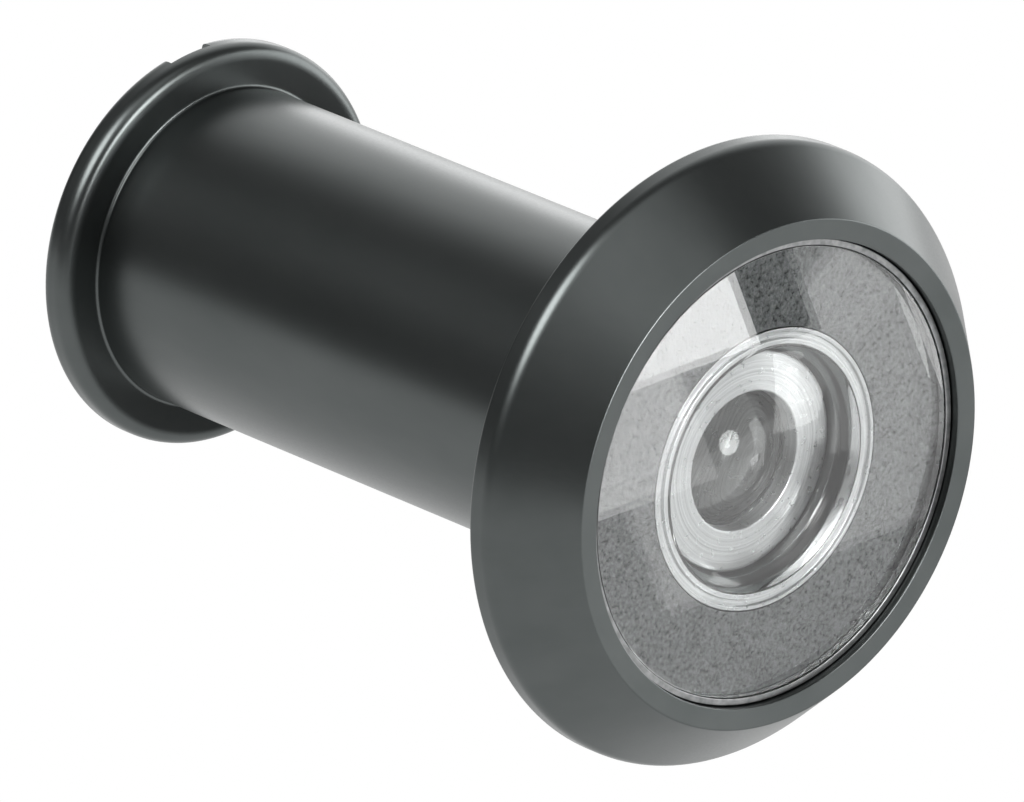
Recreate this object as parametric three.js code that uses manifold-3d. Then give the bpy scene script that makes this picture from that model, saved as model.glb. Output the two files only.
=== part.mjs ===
// Door viewer, wide angle, for doors 31 to 53 mm thick: a standalone three.js model in millimetres.
//
// The optical axis is the Y axis. The lens half faces -Y, the street side of the door, and the eyepiece half
// faces +Y, the room side. The origin is on the axis in the plane of the front flange's seating face, which
// rests on the outer face of the door. +Z is up on a hung door.
//
// The two halves screw together through the door. The eyepiece sleeve is shown screwed fully home. The thread
// itself is left as two plain cylinders, the barrel's crest and the sleeve's clear bore.

import * as THREE from "three";
import { mergeVertices } from "three/addons/utils/BufferGeometryUtils.js";
import Module from "manifold-3d";

const wasm = await Module();
wasm.setup();

// ---- driving dimensions, in millimetres -------------------------------------------------------------------
const LARGE_SIDES = 64; // facets round the two large turned pieces and the glass
const SMALL_SIDES = 48; // facets round everything that sits inside them
const ARC_STEPS = 6; // straight steps in a polished spherical surface

// Lens housing: bevelled flange, seat for the glass, threaded barrel.
const FLANGE_R = 13.5;
const FLANGE_BAND = 1.0; // axial height of the cylindrical band
const FLANGE_EASE = 0.15; // broken edge at the seating face
const RIDGE_R = 11.0; // ridge where the bevel meets the narrow rim
const RIDGE_Y = -4.12;
const OPENING_R = 10.1; // wall round the glass
const OPENING_Y = -4.06; // inner edge of the rim, which dips a little towards the glass
const LEDGE_Y = -2.25; // ledge that carries gasket, washer and glass
const POCKET_R = 6.2; // pocket for the centre ring and the thick body of the objective
const POCKET_Y = -1.3;
const LENS_BORE_R = 4.95;
const BARREL_R = 6.0; // crest of the male thread
const BARREL_END_Y = 27.5;
const BARREL_TIP = 0.3; // lead chamfer at the barrel's end
const UNDERCUT_R = 5.7; // run-out groove behind the flange
const UNDERCUT_END_Y = 1.2;
const RELIEF_R = 7.6; // shallow relief behind the flange that clears the mouth of the sleeve
const RELIEF_DEPTH = 0.3;

// Objective lens and what holds it.
const GLASS_R = 9.72;
const GLASS_FRONT_Y = -3.66;
const GLASS_BACK_Y = -2.9; // back of its thin outer flange
const GLASS_EASE = 0.05;
const GLASS_BODY_R = 5.3;
const GLASS_BODY_Y = -1.5;
const BOWL_R = 4.95; // hollow ground into its back
const BOWL_DEPTH = 0.45;
const RETAINER_INNER_R = 9.76; // ring pressed round the edge of the glass
const RETAINER_OUTER_R = 10.05;
const RETAINER_FRONT_Y = -3.7;
const RETAINER_BACK_Y = -2.95;
const WASHER_INNER_R = 6.15;
const WASHER_OUTER_R = 10.0;
const WASHER_FRONT_Y = -2.85;
const WASHER_BACK_Y = -2.6;
const CENTRE_RING_INNER_R = 5.4; // bright ring round the thick body of the objective
const CENTRE_RING_OUTER_R = 6.1;
const CENTRE_RING_BACK_Y = -1.65;
const GASKET_INNER_R = 8.2;
const GASKET_FRONT_Y = -2.55;
const GASKET_BACK_Y = -2.3;

// Inner stack, in the barrel.
const STACK_R = 4.85;
const BRIGHT_RING_HOLE_R = 3.1;
const BRIGHT_RING_FRONT_Y = -1.05;
const BRIGHT_RING_BACK_Y = -0.25;
const SECOND_EDGE_Y = -0.2;
const SECOND_DOME_R = 2.95;
const SECOND_DOME_HEIGHT = 1.3;
const SECOND_BACK_Y = 1.8;
const SECOND_BOWL_R = 3.9;
const SECOND_BOWL_DEPTH = 1.2;
const SPACER_HOLE_R = 4.2;
const SPACER_FRONT_Y = 1.9;
const SPACER_BACK_Y = 4.9;
const THIRD_FRONT_Y = 5.0;
const THIRD_BACK_Y = 7.2;
const THIRD_BOWL_R = 4.0;
const THIRD_BOWL_DEPTH = 1.1;
const STACK_RING_HOLE_R = 3.6;
const STACK_RING_FRONT_Y = 7.3;
const STACK_RING_BACK_Y = 8.6;
const STOP_HOLE_R = 3.2;
const STOP_FRONT_Y = 25.5;
const STOP_BACK_Y = 26.3;
const SPANNER_WIDTH = 0.8; // pair of notches that a pin spanner turns a threaded ring by
const SPANNER_DEPTH = 0.5;

// Eyepiece sleeve.
const SLEEVE_R = 7.0; // smooth outside, for a 14.3 mm hole in the door
const SLEEVE_BORE_R = 6.12;
const SLEEVE_MOUTH_Y = 0.1;
const SLEEVE_LEAD = 0.25; // countersink at the mouth
const EYE_SEAT_Y = 27.8; // step from the threaded bore to the eyepiece seat
const EYE_SEAT_R = 5.6;
const EYE_SHOULDER_Y = 31.05;
const EYE_HOLE_R = 4.3; // sight hole, at the lens
const EYE_MOUTH_R = 5.3; // sight hole, at the back face
const FILLET = 0.15; // where the sleeve runs out into its flange
const REAR_FLANGE_R = 8.85;
const REAR_FACE_Y = 31.0; // face that seats on the room side of the door
const REAR_END_Y = 32.4;
const REAR_FRONT_EASE = 0.6; // generous edge on the side that shows beside the sleeve
const REAR_BACK_EASE = 0.35;
const SLOT_WIDTH = 2.2; // driver slot for a coin
const SLOT_DEPTH = 0.6;
const SLOT_TURN = THREE.MathUtils.degToRad(-6.5); // where the slot stands when the sleeve is home

// Eyepiece optics, seated in the sleeve.
const EYE_PIECE_R = 5.5;
const EYE_LENS_BACK_Y = 30.6;
const EYE_LENS_EDGE_Y = 29.6;
const EYE_LENS_DOME_R = 5.3;
const EYE_LENS_DOME_HEIGHT = 0.8;
const EYE_RING_HOLE_R = 4.4;
const EYE_RING_FRONT_Y = 27.95;
const EYE_RING_BACK_Y = 28.75;
const EYE_SEAL_HOLE_R = 4.5;
const EYE_SEAL_FRONT_Y = 30.65;
const EYE_SEAL_BACK_Y = 30.95;

// ---- finishes ---------------------------------------------------------------------------------------------
const finish = (color, roughness, metalness) =>
  new THREE.MeshStandardMaterial({ color, roughness, metalness });
const BLACK_METAL = finish(0x26292a, 0.42, 0.6);
const BRIGHT_METAL = finish(0xd9dadb, 0.35, 0.9);
const BLACKENED = finish(0x141516, 0.7, 0.3);
const RUBBER = finish(0x1b1c1d, 0.9, 0);
const GLASS = finish(0xbfc6c8, 0.05, 0);

// ---- helpers ----------------------------------------------------------------------------------------------
const at = (r, y) => new THREE.Vector2(r, y);

// Turned piece: an outline of (radius, y) points swept round the Y axis.
const turned = (outline, sides) => new THREE.LatheGeometry(outline, sides);

// Plain ring of rectangular section.
function ring(innerR, outerR, frontY, backY, sides = SMALL_SIDES) {
  const corners = [at(innerR, frontY), at(outerR, frontY), at(outerR, backY), at(innerR, backY)];
  return turned([...corners, corners[0]], sides);
}

// Spherical surface from the axis out to a rim of radius rimR in the plane y = rimY. Its middle stands
// `height` away from that plane, towards +y if height is positive.
function polished(rimR, rimY, height) {
  const deep = Math.abs(height);
  const curve = (rimR * rimR + deep * deep) / (2 * deep);
  const points = [];
  for (let i = 0; i <= ARC_STEPS; i++) {
    const r = (rimR * i) / ARC_STEPS;
    const lift = deep - (curve - Math.sqrt(curve * curve - r * r));
    points.push(at(r, rimY + Math.sign(height) * lift));
  }
  return points;
}

function solid(geometry) {
  const bare = geometry.clone();
  bare.deleteAttribute("normal");
  bare.deleteAttribute("uv");
  const merged = mergeVertices(bare, 1e-4);
  const vertProperties = new Float32Array(merged.attributes.position.array);
  const triVerts = new Uint32Array(merged.index.array);
  return new wasm.Manifold(new wasm.Mesh({ numProp: 3, vertProperties, triVerts }));
}

// Cuts one geometry out of another and returns what is left.
function cut(from, tool) {
  const left = solid(from).subtract(solid(tool)).getMesh();
  const geometry = new THREE.BufferGeometry();
  geometry.setAttribute("position", new THREE.BufferAttribute(new Float32Array(left.vertProperties), 3));
  geometry.setIndex(new THREE.BufferAttribute(new Uint32Array(left.triVerts), 1));
  return geometry;
}

// Straight slot across a face, square to the axis, centred on the plane y = faceY.
function slotTool(width, depth, reach, faceY, turn = 0) {
  return new THREE.BoxGeometry(width, 2 * depth, 2 * reach).rotateY(turn).translate(0, faceY, 0);
}

function piece(name, geometry, material) {
  const mesh = new THREE.Mesh(geometry, material);
  mesh.name = name;
  return mesh;
}

// ---- lens half --------------------------------------------------------------------------------------------
// One turned piece: bevelled flange, seat for the glass, pocket, and the threaded barrel behind.
function lensHousing() {
  const outline = [
    at(OPENING_R, OPENING_Y),
    at(RIDGE_R, RIDGE_Y),
    at(FLANGE_R, -FLANGE_BAND),
    at(FLANGE_R, -FLANGE_EASE),
    at(FLANGE_R - FLANGE_EASE, 0),
    at(RELIEF_R, 0),
    at(RELIEF_R, -RELIEF_DEPTH),
    at(UNDERCUT_R, -RELIEF_DEPTH),
    at(UNDERCUT_R, UNDERCUT_END_Y),
    at(BARREL_R, UNDERCUT_END_Y + BARREL_R - UNDERCUT_R),
    at(BARREL_R, BARREL_END_Y - BARREL_TIP),
    at(BARREL_R - BARREL_TIP, BARREL_END_Y),
    at(LENS_BORE_R, BARREL_END_Y),
    at(LENS_BORE_R, POCKET_Y),
    at(POCKET_R, POCKET_Y),
    at(POCKET_R, LEDGE_Y),
    at(OPENING_R, LEDGE_Y),
    at(OPENING_R, OPENING_Y),
  ];
  return turned(outline, LARGE_SIDES);
}

// Flat outside, a thin flange that carries it, and a thick body with the hollow that spreads the view.
function objectiveLens() {
  const outline = [
    at(0, GLASS_FRONT_Y),
    at(GLASS_R - GLASS_EASE, GLASS_FRONT_Y),
    at(GLASS_R, GLASS_FRONT_Y + GLASS_EASE),
    at(GLASS_R, GLASS_BACK_Y),
    at(GLASS_BODY_R, GLASS_BACK_Y),
    at(GLASS_BODY_R, GLASS_BODY_Y),
    ...polished(BOWL_R, GLASS_BODY_Y, -BOWL_DEPTH).reverse(),
  ];
  return turned(outline, LARGE_SIDES);
}

// Second lens: a full dome that shows through the bright ring, and a deep hollow behind.
function secondLens() {
  const outline = [
    ...polished(SECOND_DOME_R, SECOND_EDGE_Y, -SECOND_DOME_HEIGHT),
    at(STACK_R, SECOND_EDGE_Y),
    at(STACK_R, SECOND_BACK_Y),
    ...polished(SECOND_BOWL_R, SECOND_BACK_Y, -SECOND_BOWL_DEPTH).reverse(),
  ];
  return turned(outline, SMALL_SIDES);
}

// Third lens: hollow in front, flat behind.
function thirdLens() {
  const outline = [
    ...polished(THIRD_BOWL_R, THIRD_FRONT_Y, THIRD_BOWL_DEPTH),
    at(STACK_R, THIRD_FRONT_Y),
    at(STACK_R, THIRD_BACK_Y),
    at(0, THIRD_BACK_Y),
  ];
  return turned(outline, SMALL_SIDES);
}

// Threaded ring with two notches for a pin spanner, cut into the face at notchedY.
function spannerRing(innerR, outerR, frontY, backY, notchedY) {
  const notches = slotTool(SPANNER_WIDTH, SPANNER_DEPTH, outerR + 1, notchedY);
  return cut(ring(innerR, outerR, frontY, backY), notches);
}

// Plain rings that hold or space the lenses.
const glassRetainer = ring(RETAINER_INNER_R, RETAINER_OUTER_R, RETAINER_FRONT_Y, RETAINER_BACK_Y, LARGE_SIDES);
const seatWasher = ring(WASHER_INNER_R, WASHER_OUTER_R, WASHER_FRONT_Y, WASHER_BACK_Y);
const centreRing = ring(CENTRE_RING_INNER_R, CENTRE_RING_OUTER_R, WASHER_FRONT_Y, CENTRE_RING_BACK_Y);
const glassGasket = ring(GASKET_INNER_R, GLASS_R, GASKET_FRONT_Y, GASKET_BACK_Y);
const brightRing = ring(BRIGHT_RING_HOLE_R, STACK_R, BRIGHT_RING_FRONT_Y, BRIGHT_RING_BACK_Y);
const spacerTube = ring(SPACER_HOLE_R, STACK_R, SPACER_FRONT_Y, SPACER_BACK_Y);
const apertureStop = ring(STOP_HOLE_R, STACK_R, STOP_FRONT_Y, STOP_BACK_Y);
const stackRing = spannerRing(
  STACK_RING_HOLE_R,
  STACK_R,
  STACK_RING_FRONT_Y,
  STACK_RING_BACK_Y,
  STACK_RING_BACK_Y,
);

const lensHalf = new THREE.Group();
lensHalf.add(
  piece("lens_housing", lensHousing(), BLACK_METAL),
  piece("glass_retaining_ring", glassRetainer, BLACK_METAL),
  piece("objective_lens", objectiveLens(), GLASS),
  piece("seat_washer", seatWasher, BRIGHT_METAL),
  piece("centre_ring", centreRing, BRIGHT_METAL),
  piece("glass_gasket", glassGasket, RUBBER),
  piece("bright_lens_ring", brightRing, BRIGHT_METAL),
  piece("second_lens", secondLens(), GLASS),
  piece("spacer_tube", spacerTube, BRIGHT_METAL),
  piece("third_lens", thirdLens(), GLASS),
  piece("lens_stack_ring", stackRing, BLACKENED),
  piece("aperture_stop", apertureStop, BLACKENED),
);

// ---- eyepiece half ----------------------------------------------------------------------------------------
// Smooth sleeve with a small flange. The driver slot runs right across the back of that flange.
function eyepieceSleeve() {
  const outline = [
    at(SLEEVE_BORE_R + SLEEVE_LEAD, SLEEVE_MOUTH_Y),
    at(SLEEVE_R, SLEEVE_MOUTH_Y),
    at(SLEEVE_R, REAR_FACE_Y - FILLET),
    at(SLEEVE_R + FILLET, REAR_FACE_Y),
    at(REAR_FLANGE_R - REAR_FRONT_EASE, REAR_FACE_Y),
    at(REAR_FLANGE_R, REAR_FACE_Y + REAR_FRONT_EASE),
    at(REAR_FLANGE_R, REAR_END_Y - REAR_BACK_EASE),
    at(REAR_FLANGE_R - REAR_BACK_EASE, REAR_END_Y),
    at(EYE_MOUTH_R, REAR_END_Y),
    at(EYE_HOLE_R, EYE_SHOULDER_Y),
    at(EYE_SEAT_R, EYE_SHOULDER_Y),
    at(EYE_SEAT_R, EYE_SEAT_Y),
    at(SLEEVE_BORE_R, EYE_SEAT_Y),
    at(SLEEVE_BORE_R, SLEEVE_MOUTH_Y + SLEEVE_LEAD),
    at(SLEEVE_BORE_R + SLEEVE_LEAD, SLEEVE_MOUTH_Y),
  ];
  const slot = slotTool(SLOT_WIDTH, SLOT_DEPTH, REAR_FLANGE_R + 1, REAR_END_Y, SLOT_TURN);
  return cut(turned(outline, LARGE_SIDES), slot);
}

// Domed towards the street, flat towards the eye.
function eyepieceLens() {
  const outline = [
    ...polished(EYE_LENS_DOME_R, EYE_LENS_EDGE_Y, -EYE_LENS_DOME_HEIGHT),
    at(EYE_PIECE_R, EYE_LENS_EDGE_Y),
    at(EYE_PIECE_R, EYE_LENS_BACK_Y),
    at(0, EYE_LENS_BACK_Y),
  ];
  return turned(outline, SMALL_SIDES);
}

const eyepieceSeal = ring(EYE_SEAL_HOLE_R, EYE_PIECE_R, EYE_SEAL_FRONT_Y, EYE_SEAL_BACK_Y);
const eyepieceRing = spannerRing(
  EYE_RING_HOLE_R,
  EYE_PIECE_R,
  EYE_RING_FRONT_Y,
  EYE_RING_BACK_Y,
  EYE_RING_FRONT_Y,
);

const eyepieceHalf = new THREE.Group();
eyepieceHalf.add(
  piece("eyepiece_sleeve", eyepieceSleeve(), BLACK_METAL),
  piece("eyepiece_lens", eyepieceLens(), GLASS),
  piece("eyepiece_retaining_ring", eyepieceRing, BLACKENED),
  piece("eyepiece_seal", eyepieceSeal, RUBBER),
);

const doorViewer = new THREE.Group();
doorViewer.add(lensHalf, eyepieceHalf);

export default doorViewer;
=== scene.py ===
"""Door viewer: fine turned pieces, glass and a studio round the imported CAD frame.

Metres, +Z up, lens facing -Y. Outlines and the sizes of the studio's cards are written in millimetres.
"""

import math

import bmesh
import bpy
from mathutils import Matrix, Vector


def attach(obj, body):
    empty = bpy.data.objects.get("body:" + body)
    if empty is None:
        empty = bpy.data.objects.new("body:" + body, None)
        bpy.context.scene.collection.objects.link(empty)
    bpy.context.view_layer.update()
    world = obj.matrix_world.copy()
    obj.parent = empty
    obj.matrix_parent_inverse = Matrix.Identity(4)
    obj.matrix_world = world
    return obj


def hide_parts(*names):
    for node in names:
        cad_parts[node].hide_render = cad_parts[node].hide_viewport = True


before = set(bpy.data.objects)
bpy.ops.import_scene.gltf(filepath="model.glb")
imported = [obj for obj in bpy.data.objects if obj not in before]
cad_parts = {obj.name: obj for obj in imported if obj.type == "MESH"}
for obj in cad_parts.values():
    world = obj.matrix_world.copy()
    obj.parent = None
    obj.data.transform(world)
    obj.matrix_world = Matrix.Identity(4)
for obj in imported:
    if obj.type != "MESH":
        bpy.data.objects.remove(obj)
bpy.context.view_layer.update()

MM = 0.001
TINY = 1e-7  # points closer than this are one point, in metres
AROUND = 192  # facets round a large turned piece
INNER_AROUND = 128  # facets round the pieces inside it

# ---- driving dimensions -----------------------------------------------------------------------------------
# Millimetres: radii from the optical axis, and Y along it from the front flange's seating face.
FLANGE_R = 13.5
FLANGE_BAND = 1.0
RIDGE_R, RIDGE_Y = 11.0, -4.12
OPENING_R, OPENING_Y = 10.1, -4.06
LEDGE_Y = -2.25
POCKET_R, POCKET_Y = 6.2, -1.3
RELIEF_R, RELIEF_Y = 7.6, -0.3
UNDERCUT_R, UNDERCUT_END_Y = 5.7, 1.2
LENS_BORE_R = 4.95
BARREL_TIP_R, BARREL_END_Y = 5.45, 27.5
THREAD_PITCH = 1.0
THREAD_START, THREAD_END = 1.5, 27.2
CREST_R, ROOT_R = 6.0, 5.55

GLASS_R, GLASS_FRONT_Y, GLASS_BACK_Y = 9.72, -3.66, -2.9
GLASS_EASE = 0.03
GLASS_BODY_R, GLASS_BODY_Y = 5.3, -1.5
BOWL_R, BOWL_DEPTH = 4.95, 0.45
WASHER_FRONT_Y = -2.85  # the centre ring's face lies level with the washer's
CENTRE_INNER_R, CENTRE_OUTER_R, CENTRE_BACK_Y = 5.4, 6.1, -1.65
STACK_R = 4.85  # outside of the small lenses and rings in the barrel
SECOND_FRONT_Y, SECOND_BACK_Y = -0.2, 1.8
THIRD_FRONT_Y, THIRD_BACK_Y = 5.0, 7.2
STACK_RING_BACK_Y = 8.6

SLEEVE_R, SLEEVE_BORE_R = 7.0, 6.12
SLEEVE_FRONT_Y, SLEEVE_SEAT_Y, SLEEVE_END_Y = 0.1, 31.0, 32.4
SLEEVE_FLANGE_R = 8.85
EYE_BORE_R, EYE_BORE_Y = 5.6, 27.8
EYE_SHOULDER_R, EYE_SHOULDER_Y = 4.3, 31.05
EYE_R = 5.5  # outside of the eyepiece's lens, ring and seal
EYE_FRONT_Y, EYE_BACK_Y = 29.6, 30.6
EYE_RING_FRONT_Y = 27.95
DRIVER_SLOT_WIDTH, DRIVER_SLOT_DEPTH = 2.2, 0.6
DRIVER_SLOT_TURN = math.radians(-6.5)
SPANNER_WIDTH, SPANNER_DEPTH = 0.8, 0.5  # the notches that turn a threaded ring


# ---- outlines ---------------------------------------------------------------------------------------------
MOST_OF_SIDE = 0.45  # a rounding takes no more than this share of a straight side
GUARD_SHARE = 0.12  # distance of the extra point on each side, as a share of the rounding's reach


def rounded(points, radii, steps=6, closed=True):
    """An outline in millimetres with its corners rounded. Each straight side also gets a point close to each
    rounding, so that smooth shading stays flat along the side."""
    out = []
    count = len(points)
    for i, (corner, radius) in enumerate(zip(points, radii)):
        here = Vector(corner)
        if radius <= 0 or (not closed and i in (0, count - 1)):
            out.append(here)
            continue
        before = Vector(points[i - 1]) - here
        after = Vector(points[(i + 1) % count]) - here
        half = before.angle(after) / 2
        reach = min(radius / math.tan(half), before.length * MOST_OF_SIDE, after.length * MOST_OF_SIDE)
        start = here + before.normalized() * reach
        end = here + after.normalized() * reach
        guard = reach * GUARD_SHARE
        out.append(start + before.normalized() * guard)
        for k in range(steps + 1):
            t = k / steps
            out.append(start * (1 - t) ** 2 + here * 2 * t * (1 - t) + end * t**2)
        out.append(end + after.normalized() * guard)
    return out


def polished(rim_r, rim_y, height, steps=24):
    """Points of a spherical surface from the axis to its rim, its middle `height` from the rim's plane."""
    deep = abs(height)
    curve = (rim_r**2 + deep**2) / (2 * deep)
    side = math.copysign(1, height)
    out = []
    for k in range(steps + 1):
        r = rim_r * k / steps
        out.append(Vector((r, rim_y + side * (deep - curve + math.sqrt(curve**2 - r**2)))))
    return out


# ---- meshes -----------------------------------------------------------------------------------------------
def shade_by_angle(bm, sharp):
    """Smooth faces that meet in a crease wherever they turn by more than the sharp angle."""
    limit = math.radians(sharp)
    for face in bm.faces:
        face.smooth = True
    for edge in bm.edges:
        edge.smooth = len(edge.link_faces) == 2 and edge.calc_face_angle(0) < limit


def finish_mesh(bm, name, sharp=40):
    bmesh.ops.remove_doubles(bm, verts=bm.verts, dist=TINY)
    bmesh.ops.dissolve_degenerate(bm, edges=bm.edges, dist=TINY)
    bmesh.ops.recalc_face_normals(bm, faces=bm.faces)
    shade_by_angle(bm, sharp)
    mesh = bpy.data.meshes.new(name)
    bm.to_mesh(mesh)
    bm.free()
    piece = bpy.data.objects.new(name, mesh)
    bpy.context.scene.collection.objects.link(piece)
    return piece


def turned(name, outline, around=AROUND, closed=True):
    """A turned piece: an outline of (radius, y) in millimetres swept round the Y axis."""
    bm = bmesh.new()
    rings = []
    for r, y in outline:
        if r * MM < TINY:
            rings.append([bm.verts.new((0, y * MM, 0))] * around)
            continue
        ring = []
        for i in range(around):
            a = math.tau * i / around
            ring.append(bm.verts.new((r * MM * math.cos(a), y * MM, r * MM * math.sin(a))))
        rings.append(ring)
    spans = list(zip(rings, rings[1:]))
    if closed:
        spans.append((rings[-1], rings[0]))
    for low, high in spans:
        for i in range(around):
            j = (i + 1) % around
            corners = list(dict.fromkeys((low[i], low[j], high[j], high[i])))
            if len(corners) > 2:
                bm.faces.new(corners)
    return finish_mesh(bm, name)


def ring_piece(name, inner, outer, front, back, ease, around=INNER_AROUND):
    corners = [(inner, front), (outer, front), (outer, back), (inner, back)]
    return turned(name, rounded(corners, [ease] * 4, steps=3), around)


def carve(piece, tool):
    """Cuts the tool out of a piece for good and drops it."""
    cut = piece.modifiers.new("cut", "BOOLEAN")
    cut.operation = "DIFFERENCE"
    cut.object = tool
    cut.solver = "EXACT"
    graph = bpy.context.evaluated_depsgraph_get()
    mesh = bpy.data.meshes.new_from_object(piece.evaluated_get(graph))
    piece.modifiers.clear()
    bm = bmesh.new()
    bm.from_mesh(mesh)
    bmesh.ops.dissolve_degenerate(bm, edges=bm.edges, dist=TINY)
    shade_by_angle(bm, sharp=30)
    bm.to_mesh(mesh)
    bm.free()
    old = piece.data
    piece.data = mesh
    mesh.name = piece.name
    bpy.data.meshes.remove(old)
    bpy.data.objects.remove(tool)


def slot_tool(width, depth, piece_r, face_y, turn=0.0):
    """A block that cuts a straight slot across a face square to the axis, from rim to rim."""
    reach = piece_r + 1
    c = math.cos(turn)
    s = math.sin(turn)
    bm = bmesh.new()
    bmesh.ops.create_cube(bm, size=1)
    for vert in bm.verts:
        x = vert.co.x * width
        y = face_y + vert.co.y * 2 * depth
        z = vert.co.z * 2 * reach
        vert.co = Vector((x * c + z * s, y, -x * s + z * c)) * MM
    return finish_mesh(bm, "slot_tool")


# ---- materials --------------------------------------------------------------------------------------------
EVEN = (1, 1, 1)  # noise that isn't stretched
MIDDLE_LOW, MIDDLE_HIGH = 0.3, 0.7  # the range that most of a noise's values lie in


def material(name, **values):
    made = bpy.data.materials.new(name)
    made.use_nodes = True
    shader = made.node_tree.nodes["Principled BSDF"]
    for key, value in values.items():
        shader.inputs[key.replace("_", " ")].default_value = value
    return made


def node(mat, kind, **values):
    made = mat.node_tree.nodes.new(kind)
    for key, value in values.items():
        made.inputs[key.replace("_", " ")].default_value = value
    return made


def link(mat, a, out, b, into):
    mat.node_tree.links.new(a.outputs[out], b.inputs[into])


def noise(mat, stretch, scale, detail=3.0, rough=0.55):
    """Noise on the object's own coordinates, stretched by a factor along each axis."""
    coordinates = node(mat, "ShaderNodeTexCoord")
    scaled = node(mat, "ShaderNodeMapping")
    scaled.inputs["Scale"].default_value = stretch
    made = node(mat, "ShaderNodeTexNoise", Scale=scale, Detail=detail, Roughness=rough)
    link(mat, coordinates, "Object", scaled, "Vector")
    link(mat, scaled, "Vector", made, "Vector")
    return made


def turning_marks(mat, per_mm):
    """Fine concentric marks left by the lathe: noise along radius and length only."""
    coordinates = node(mat, "ShaderNodeTexCoord")
    split = node(mat, "ShaderNodeSeparateXYZ")
    flat = node(mat, "ShaderNodeMapping")
    flat.inputs["Scale"].default_value = (1, 0, 1)
    radius = node(mat, "ShaderNodeVectorMath")
    radius.operation = "LENGTH"
    along = node(mat, "ShaderNodeMath")
    along.operation = "ADD"
    made = node(mat, "ShaderNodeTexNoise", Scale=per_mm / MM, Detail=4, Roughness=0.7)
    made.noise_dimensions = "1D"
    link(mat, coordinates, "Object", flat, "Vector")
    link(mat, coordinates, "Object", split, "Vector")
    link(mat, flat, "Vector", radius, "Vector")
    link(mat, split, "Y", along, 0)
    link(mat, radius, "Value", along, 1)
    link(mat, along, "Value", made, "W")
    return made


def tint(mat, source, dark, light, start=MIDDLE_LOW, end=MIDDLE_HIGH):
    """Colours the metal or rubber from dark to light with the source."""
    made = node(mat, "ShaderNodeValToRGB")
    first, last = made.color_ramp.elements
    first.position = start
    last.position = end
    first.color = (*dark, 1)
    last.color = (*light, 1)
    link(mat, source, "Fac", made, "Fac")
    link(mat, made, "Color", mat.node_tree.nodes["Principled BSDF"], "Base Color")


def roughen(mat, source, low, high):
    """Varies the roughness from low to high over the source's middle range."""
    made = node(mat, "ShaderNodeMapRange")
    made.inputs["From Min"].default_value = MIDDLE_LOW
    made.inputs["From Max"].default_value = MIDDLE_HIGH
    made.inputs["To Min"].default_value = low
    made.inputs["To Max"].default_value = high
    link(mat, source, "Fac", made, "Value")
    link(mat, made, "Result", mat.node_tree.nodes["Principled BSDF"], "Roughness")


def bump(mat, source, distance, strength):
    made = node(mat, "ShaderNodeBump", Strength=strength, Distance=distance)
    link(mat, source, "Fac", made, "Height")
    link(mat, made, "Normal", mat.node_tree.nodes["Principled BSDF"], "Normal")


def satin_black():
    """The coating of both halves: almost even, with faint clouds along the axis and faint lathe marks."""
    mat = material("satin_black", Metallic=1.0)
    tint(mat, noise(mat, (1, 0.35, 1), 260, detail=4), (0.092, 0.101, 0.100), (0.112, 0.121, 0.120))
    roughen(mat, noise(mat, EVEN, 9000, detail=2), 0.29, 0.33)
    bump(mat, turning_marks(mat, 5.0), 1.2e-6, 0.25)
    return mat


def bright_turned():
    """Bare turned metal with lathe marks that show."""
    mat = material("bright_turned", Metallic=1.0)
    marks = turning_marks(mat, 9.0)
    tint(mat, marks, (0.40, 0.405, 0.41), (0.70, 0.705, 0.71))
    roughen(mat, noise(mat, EVEN, 3000), 0.24, 0.42)
    bump(mat, marks, 1.2e-5, 0.8)
    return mat


def grained_silver():
    """The washer's pebbled silver face."""
    mat = material("grained_silver", Metallic=1.0)
    pebble = noise(mat, EVEN, 6500, rough=0.6)
    tint(mat, pebble, (0.035, 0.037, 0.038), (0.21, 0.214, 0.216), end=0.72)
    roughen(mat, pebble, 0.24, 0.42)
    bump(mat, pebble, 6e-5, 0.9)
    return mat


def worn_grey():
    """The thin ring round the glass, where the coating has rubbed down to a lighter grey."""
    mat = material("worn_grey", Metallic=1.0, Roughness=0.34)
    rubbed = noise(mat, EVEN, 2600, detail=4)
    tint(mat, rubbed, (0.17, 0.175, 0.176), (0.34, 0.345, 0.346))
    bump(mat, rubbed, 4e-6, 0.4)
    return mat


def matte_black(name, roughness, scale):
    mat = material(name, Roughness=roughness)
    pores = noise(mat, EVEN, scale)
    tint(mat, pores, (0.010, 0.010, 0.011), (0.030, 0.030, 0.032), start=0.0, end=1.0)
    bump(mat, pores, 8e-6, 0.4)
    return mat


def optical_glass():
    clear = (0.97, 0.985, 0.98, 1)
    return material("optical_glass", Transmission_Weight=1.0, Roughness=0.0, IOR=1.52, Base_Color=clear)


BLACK = satin_black()
BRIGHT = bright_turned()
SILVER = grained_silver()
WORN = worn_grey()
RUBBER = matte_black("rubber", 0.75, 2500)
BLACKENED = matte_black("blackened", 0.5, 4000)
GLASS = optical_glass()


def place(piece, mat, body, replaced):
    piece.data.materials.clear()
    piece.data.materials.append(mat)
    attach(piece, body)
    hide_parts(replaced)


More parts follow.
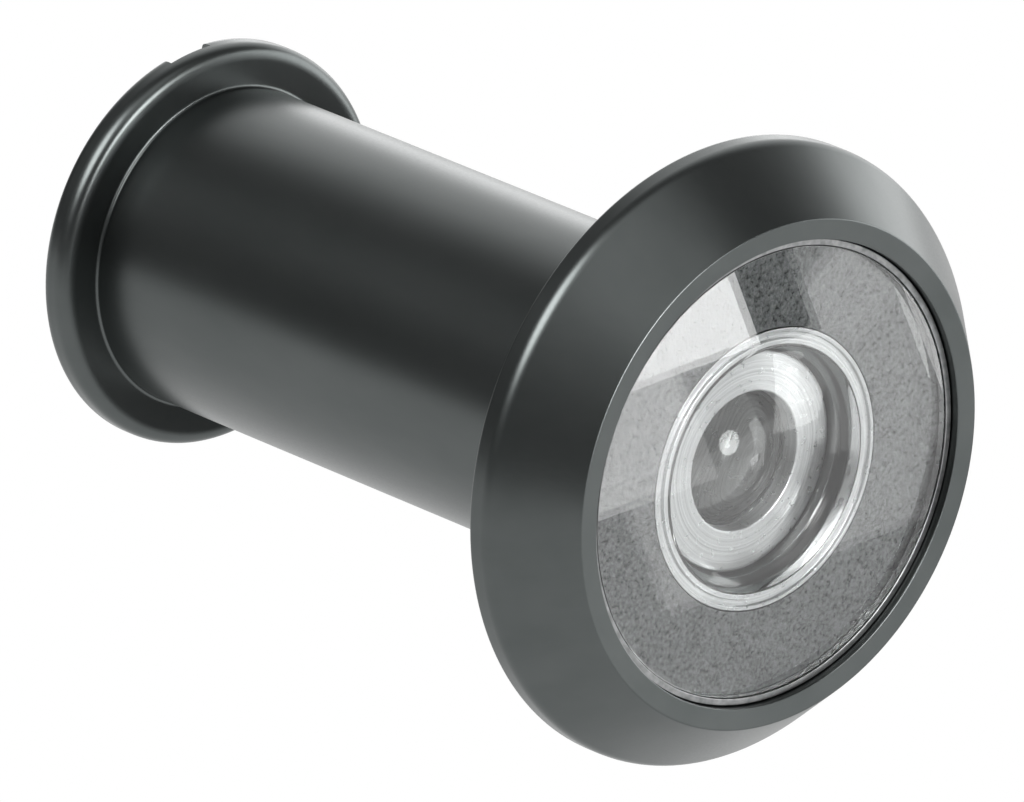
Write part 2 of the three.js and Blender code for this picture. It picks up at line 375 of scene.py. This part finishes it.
# ---- lens half --------------------------------------------------------------------------------------------
def housing():
    """Flange and bored barrel. The thread is a separate closed skin that overlaps the barrel's wall."""
    corners = [
        ((OPENING_R, OPENING_Y), 0.05),
        ((RIDGE_R, RIDGE_Y), 0.10),
        ((FLANGE_R, -FLANGE_BAND), 0.8),
        ((FLANGE_R, 0.0), 0.15),
        ((RELIEF_R, 0.0), 0.05),
        ((RELIEF_R, RELIEF_Y), 0.03),
        ((UNDERCUT_R, RELIEF_Y), 0.05),
        ((UNDERCUT_R, UNDERCUT_END_Y), 0.05),
        ((ROOT_R, UNDERCUT_END_Y + 0.15), 0.0),
        ((ROOT_R, BARREL_END_Y - 0.15), 0.0),
        ((BARREL_TIP_R, BARREL_END_Y), 0.04),
        ((LENS_BORE_R, BARREL_END_Y), 0.04),
        ((LENS_BORE_R, POCKET_Y), 0.03),
        ((POCKET_R, POCKET_Y), 0.03),
        ((POCKET_R, LEDGE_Y), 0.03),
        ((OPENING_R, LEDGE_Y), 0.03),
    ]
    return turned("lens_housing_turned", rounded([c for c, _ in corners], [r for _, r in corners]))


def thread():
    """The barrel's male thread: rows follow the helix, so that its crest stays clean."""
    per_turn = 96
    sunk_r = ROOT_R - 0.02  # the skin's roots lie just inside the barrel's surface
    inner_r = ROOT_R - 0.25
    flank_end = 0.90
    rows = [(0.0, 0), (0.06, 0), (0.40, 1), (0.56, 1), (flank_end, 0)]  # along the axis, share of full height
    steps = (int((THREAD_END - THREAD_START) / THREAD_PITCH) + 1) * per_turn
    bm = bmesh.new()
    strip = []
    for step in range(steps + 1):
        a = math.tau * step / per_turn
        base = THREAD_START + THREAD_PITCH * step / per_turn
        height = (CREST_R - ROOT_R) * min(1.0, min(step, steps - step) / (per_turn * 0.5))
        points = [(y, sunk_r + share * height) for y, share in rows]
        points += [(flank_end, inner_r), (0.0, inner_r)]
        ring = []
        for y, r in points:
            along = min(base + y, THREAD_END) * MM
            ring.append(bm.verts.new((r * MM * math.cos(a), along, -r * MM * math.sin(a))))
        strip.append(ring)
    for low, high in zip(strip, strip[1:]):
        for i in range(len(low)):
            j = (i + 1) % len(low)
            bm.faces.new((low[i], low[j], high[j], high[i]))
    bm.faces.new(strip[0])
    bm.faces.new(strip[-1])
    return finish_mesh(bm, "barrel_thread", sharp=25)


def objective():
    """Flat outside, a thin flange that carries it, and a thick body with a shallow bowl."""
    outline = [
        (0, GLASS_FRONT_Y),
        (GLASS_R - GLASS_EASE, GLASS_FRONT_Y),
        (GLASS_R, GLASS_FRONT_Y + GLASS_EASE),
        (GLASS_R, GLASS_BACK_Y),
        (GLASS_BODY_R, GLASS_BACK_Y),
        (GLASS_BODY_R, GLASS_BODY_Y),
    ]
    eased = rounded(outline, [0, 0.03, 0.03, 0.03, 0.04, 0.03], steps=3, closed=False)
    bowl = polished(BOWL_R, GLASS_BODY_Y, -BOWL_DEPTH)
    return turned("objective_glass", eased + bowl[::-1], closed=False)


def centre_ring():
    """A lip at each edge of its face with a groove between, and two grooves down its bore."""
    groove_y = WASHER_FRONT_Y + 0.13
    corners = [
        (CENTRE_INNER_R, WASHER_FRONT_Y),
        (5.62, WASHER_FRONT_Y),
        (5.66, groove_y),
        (5.9, groove_y),
        (5.94, WASHER_FRONT_Y),
        (CENTRE_OUTER_R, WASHER_FRONT_Y),
        (CENTRE_OUTER_R, CENTRE_BACK_Y),
        (CENTRE_INNER_R, CENTRE_BACK_Y),
    ]
    floor_r = CENTRE_INNER_R + 0.1
    for middle in (-2.0, -2.4):
        corners.append((CENTRE_INNER_R, middle + 0.1))
        corners.append((floor_r, middle + 0.06))
        corners.append((floor_r, middle - 0.06))
        corners.append((CENTRE_INNER_R, middle - 0.1))
    return turned("centre_ring_fine", rounded(corners, [0.03] * len(corners), steps=3))


def second_lens():
    """A full dome in front and a deep hollow behind."""
    outline = polished(2.95, SECOND_FRONT_Y, -1.3)
    outline += [Vector((STACK_R, SECOND_FRONT_Y)), Vector((STACK_R, SECOND_BACK_Y))]
    outline += polished(3.9, SECOND_BACK_Y, -1.2)[::-1]
    return turned("second_lens_fine", outline, INNER_AROUND, closed=False)


def flat_backed_lens(name, surface, outer, front, back):
    outline = surface + [Vector((outer, front)), Vector((outer, back)), Vector((0, back))]
    return turned(name, outline, INNER_AROUND, closed=False)


def stack_ring():
    piece = ring_piece("stack_ring_fine", 3.6, STACK_R, 7.3, STACK_RING_BACK_Y, 0.06)
    carve(piece, slot_tool(SPANNER_WIDTH, SPANNER_DEPTH, STACK_R, STACK_RING_BACK_Y))
    return piece


place(housing(), BLACK, "lens_half", "lens_housing")
screw = thread()
screw.data.materials.append(BLACK)
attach(screw, "lens_half")
retainer = ring_piece("retaining_ring_fine", 9.76, 10.05, -3.7, -2.95, 0.04, AROUND)
place(retainer, WORN, "lens_half", "glass_retaining_ring")
place(objective(), GLASS, "lens_half", "objective_lens")
washer = ring_piece("seat_washer_grained", 6.15, 10.0, WASHER_FRONT_Y, -2.6, 0.04, AROUND)
place(washer, SILVER, "lens_half", "seat_washer")
place(centre_ring(), BRIGHT, "lens_half", "centre_ring")
gasket = ring_piece("gasket_fine", 8.2, 9.7, -2.55, -2.3, 0.06)
place(gasket, RUBBER, "lens_half", "glass_gasket")
bright_ring = ring_piece("bright_ring_fine", 3.1, STACK_R, -1.05, -0.25, 0.08)
place(bright_ring, BRIGHT, "lens_half", "bright_lens_ring")
place(second_lens(), GLASS, "lens_half", "second_lens")
spacer = ring_piece("spacer_fine", 4.2, STACK_R, 1.9, 4.9, 0.05)
place(spacer, BRIGHT, "lens_half", "spacer_tube")
third_curve = polished(4.0, THIRD_FRONT_Y, 1.1)
third = flat_backed_lens("third_lens_fine", third_curve, STACK_R, THIRD_FRONT_Y, THIRD_BACK_Y)
place(third, GLASS, "lens_half", "third_lens")
place(stack_ring(), BLACKENED, "lens_half", "lens_stack_ring")
stop = ring_piece("aperture_fine", 3.2, STACK_R, 25.5, 26.3, 0.05)
place(stop, BLACKENED, "lens_half", "aperture_stop")


# ---- eyepiece half ----------------------------------------------------------------------------------------
def sleeve():
    """The sleeve with its flange, the eyepiece's seat inside, and the driver slot across its end."""
    corners = [
        ((SLEEVE_BORE_R + 0.25, SLEEVE_FRONT_Y), 0.05),
        ((SLEEVE_R, SLEEVE_FRONT_Y), 0.12),
        ((SLEEVE_R, SLEEVE_SEAT_Y), 0.15),
        ((SLEEVE_FLANGE_R, SLEEVE_SEAT_Y), 0.75),
        ((SLEEVE_FLANGE_R, SLEEVE_END_Y), 0.40),
        ((EYE_SHOULDER_R + 1, SLEEVE_END_Y), 0.12),
        ((EYE_SHOULDER_R, EYE_SHOULDER_Y), 0.05),
        ((EYE_BORE_R, EYE_SHOULDER_Y), 0.03),
        ((EYE_BORE_R, EYE_BORE_Y), 0.03),
        ((SLEEVE_BORE_R, EYE_BORE_Y), 0.03),
        ((SLEEVE_BORE_R, SLEEVE_FRONT_Y + 0.25), 0.05),
    ]
    outline = rounded([c for c, _ in corners], [r for _, r in corners], steps=8)
    piece = turned("eyepiece_sleeve_turned", outline)
    slot_size = (DRIVER_SLOT_WIDTH, DRIVER_SLOT_DEPTH)
    carve(piece, slot_tool(*slot_size, SLEEVE_FLANGE_R, SLEEVE_END_Y, DRIVER_SLOT_TURN))
    return piece


def eyepiece_ring():
    piece = ring_piece("eyepiece_ring_fine", 4.4, EYE_R, EYE_RING_FRONT_Y, 28.75, 0.05)
    carve(piece, slot_tool(SPANNER_WIDTH, SPANNER_DEPTH, EYE_R, EYE_RING_FRONT_Y))
    return piece


place(sleeve(), BLACK, "eyepiece_sleeve", "eyepiece_sleeve")
eye_curve = polished(5.3, EYE_FRONT_Y, -0.8)
eye_lens = flat_backed_lens("eyepiece_glass", eye_curve, EYE_R, EYE_FRONT_Y, EYE_BACK_Y)
place(eye_lens, GLASS, "eyepiece_optics", "eyepiece_lens")
place(eyepiece_ring(), BLACKENED, "eyepiece_optics", "eyepiece_retaining_ring")
seal = ring_piece("eyepiece_seal_fine", 4.5, EYE_R, 30.65, 30.95, 0.05)
place(seal, RUBBER, "eyepiece_optics", "eyepiece_seal")


# ---- surroundings -----------------------------------------------------------------------------------------
WHITE = (1, 1, 1)
UP = Vector((0, 0, 1))
FLOOR_Z = -0.12
FLOOR_CORNERS = [(-0.9, -0.45), (2.0, -0.45), (2.0, 2.5), (-0.9, 2.5)]
WORLD_BASE = 0.13
# direction, cosine at the area's edge, cosine where it is full, brightness
WORLD_AREAS = [
    ((0.75, 0.65, 0.15), 0.55, 0.95, 1.2),
    ((0.72, 0.69, 0.0), 0.955, 0.998, 1.5),
    ((0.96, 0.05, 0.0), 0.88, 0.96, 1.4),
    ((-0.118, -0.40, 0.907), 0.86, 0.98, 0.8),
    ((-0.65, 0.05, 0.75), 0.925, 0.96, 7.5),
    ((0.10, -0.97, 0.22), 0.955, 0.972, 15.0),
]


def glow(name, strength):
    mat = bpy.data.materials.new(name)
    mat.use_nodes = True
    nodes = mat.node_tree.nodes
    nodes.clear()
    light = nodes.new("ShaderNodeEmission")
    light.inputs["Color"].default_value = (*WHITE, 1)
    light.inputs["Strength"].default_value = strength
    out = nodes.new("ShaderNodeOutputMaterial")
    mat.node_tree.links.new(light.outputs["Emission"], out.inputs["Surface"])
    return mat


def sheet(name, corners, strength):
    """A flat glowing sheet, its corners in metres."""
    bm = bmesh.new()
    bm.faces.new([bm.verts.new(corner) for corner in corners])
    piece = finish_mesh(bm, name)
    piece.data.materials.append(glow(name, strength))
    return piece


def world_area(tree, toward, direction, edge, full, strength):
    """A soft bright area of the surroundings round a direction."""
    dot = tree.nodes.new("ShaderNodeVectorMath")
    dot.operation = "DOT_PRODUCT"
    dot.inputs[1].default_value = Vector(direction).normalized()
    tree.links.new(toward, dot.inputs[0])
    soft = tree.nodes.new("ShaderNodeMapRange")
    soft.interpolation_type = "SMOOTHSTEP"
    soft.inputs["From Min"].default_value = edge
    soft.inputs["From Max"].default_value = full
    soft.inputs["To Max"].default_value = strength
    tree.links.new(dot.outputs["Value"], soft.inputs["Value"])
    return soft.outputs["Result"]


def world_glow():
    """Even dim surroundings with soft bright areas. The camera itself sees plain white."""
    world = bpy.data.worlds.new("studio")
    bpy.context.scene.world = world
    world.use_nodes = True
    tree = world.node_tree
    toward = tree.nodes.new("ShaderNodeTexCoord").outputs["Generated"]
    total = None
    for area in WORLD_AREAS:
        add = tree.nodes.new("ShaderNodeMath")
        if total is None:
            add.inputs[0].default_value = WORLD_BASE
        else:
            tree.links.new(total, add.inputs[0])
        tree.links.new(world_area(tree, toward, *area), add.inputs[1])
        total = add.outputs["Value"]
    surroundings = tree.nodes["Background"]
    surroundings.inputs["Color"].default_value = (*WHITE, 1)
    tree.links.new(total, surroundings.inputs["Strength"])
    white = tree.nodes.new("ShaderNodeBackground")
    white.inputs["Color"].default_value = (*WHITE, 1)
    pick = tree.nodes.new("ShaderNodeMixShader")
    seen = tree.nodes.new("ShaderNodeLightPath")
    tree.links.new(seen.outputs["Is Camera Ray"], pick.inputs[0])
    tree.links.new(surroundings.outputs[0], pick.inputs[1])
    tree.links.new(white.outputs[0], pick.inputs[2])
    tree.links.new(pick.outputs[0], tree.nodes["World Output"].inputs["Surface"])


sheet("floor", [(x, y, FLOOR_Z) for x, y in FLOOR_CORNERS], 1.0)
world_glow()


# ---- camera -----------------------------------------------------------------------------------------------
AZIMUTH, ELEVATION = math.radians(-41.7), math.radians(21.6)
DISTANCE = 0.85
VIEW_WIDTH = 0.04242  # of what the picture takes in at the origin
ASIDE, RISE = -0.00831, 0.00194  # from the origin to the middle of the view
SENSOR = 36  # millimetres
back = Vector((math.sin(AZIMUTH), -math.cos(AZIMUTH), 0)) * math.cos(ELEVATION) + UP * math.sin(ELEVATION)
right = Vector((math.cos(AZIMUTH), math.sin(AZIMUTH), 0))
up = back.cross(right)
camera_data = bpy.data.cameras.new("camera")
camera_data.sensor_width = SENSOR
camera_data.lens = SENSOR * DISTANCE / VIEW_WIDTH
camera_data.clip_start, camera_data.clip_end = 0.01, 20
camera = bpy.data.objects.new("camera", camera_data)
bpy.context.scene.collection.objects.link(camera)
camera.location = back * DISTANCE + right * ASIDE + up * RISE
camera.rotation_mode = "QUATERNION"
camera.rotation_quaternion = back.to_track_quat("Z", "Y")
bpy.context.scene.camera = camera
bpy.context.scene.view_settings.view_transform = "Standard"


# ---- cards ------------------------------------------------------------------------------------------------
# Plain rectangular cards stand low in front, on the side where the flat glass mirrors them.
GLASS_FACE = Vector((0, GLASS_FRONT_Y * MM, 0))
FIRST_CARD = 0.25
CARD_STEP = 0.001
# name, across, rise, width, height, turn in degrees, brightness. Each stands a step behind the one before it.
CARDS = [
    ("card_key", -6.3, 10.4, 12, 9, -20, 6.5),
    ("card_gap", 3.9, 9.2, 3.6, 7, -20, 0.0),
    ("card_strip", 10, 6.7, 14, 4, -52, 2.2),
    ("card_side", 12.4, -0.3, 9, 13, -21, 5.4),
    ("card_left", -6, 1.9, 8, 6, -20, 3.2),
    ("card_wide", 5.1, -0.4, 18, 13.5, -21, 1.9),
]
mirrored = Vector((-back.x, back.y, -back.z))


def rectangle(name, middle, side, above, width, height, strength):
    """A rectangle that only reflections see. middle is in metres, width and height are in millimetres."""
    corners = []
    for i, j in ((-1, -1), (1, -1), (1, 1), (-1, 1)):
        corners.append(middle + (side * i * width + above * j * height) * MM / 2)
    sheet(name, corners, strength).visible_camera = False


def card(name, across, rise, width, height, degrees, strength, distance):
    """across and rise place the card's middle as it is mirrored on the glass, in millimetres."""
    turn = math.radians(degrees)
    side = mirrored.cross(UP).normalized()
    above = side.cross(mirrored)
    turned_side = side * math.cos(turn) + above * math.sin(turn)
    turned_above = above * math.cos(turn) - side * math.sin(turn)
    middle = GLASS_FACE + Vector((across * MM, 0, rise * MM)) + mirrored * distance
    rectangle(name, middle, turned_side, turned_above, width, height, strength)


def panel(name, middle, aim, width, height, strength):
    """middle is in millimetres, and the panel's face looks along aim."""
    face = Vector(aim).normalized()
    side = face.cross(UP).normalized()
    rectangle(name, Vector(middle) * MM, side, side.cross(face), width, height, strength)


for order, values in enumerate(CARDS):
    card(*values, FIRST_CARD + order * CARD_STEP)

# A dark flag keeps the floor's glare off the small flange, and a softbox to the right lights the inner lens.
panel("flag_small_flange", (24, 6, -14), (-0.62, 0.69, 0.37), 26, 26, 0.03)
panel("softbox_right", (315, -147, 20), (-0.9, 0.42, -0.05), 230, 230, 3.5)
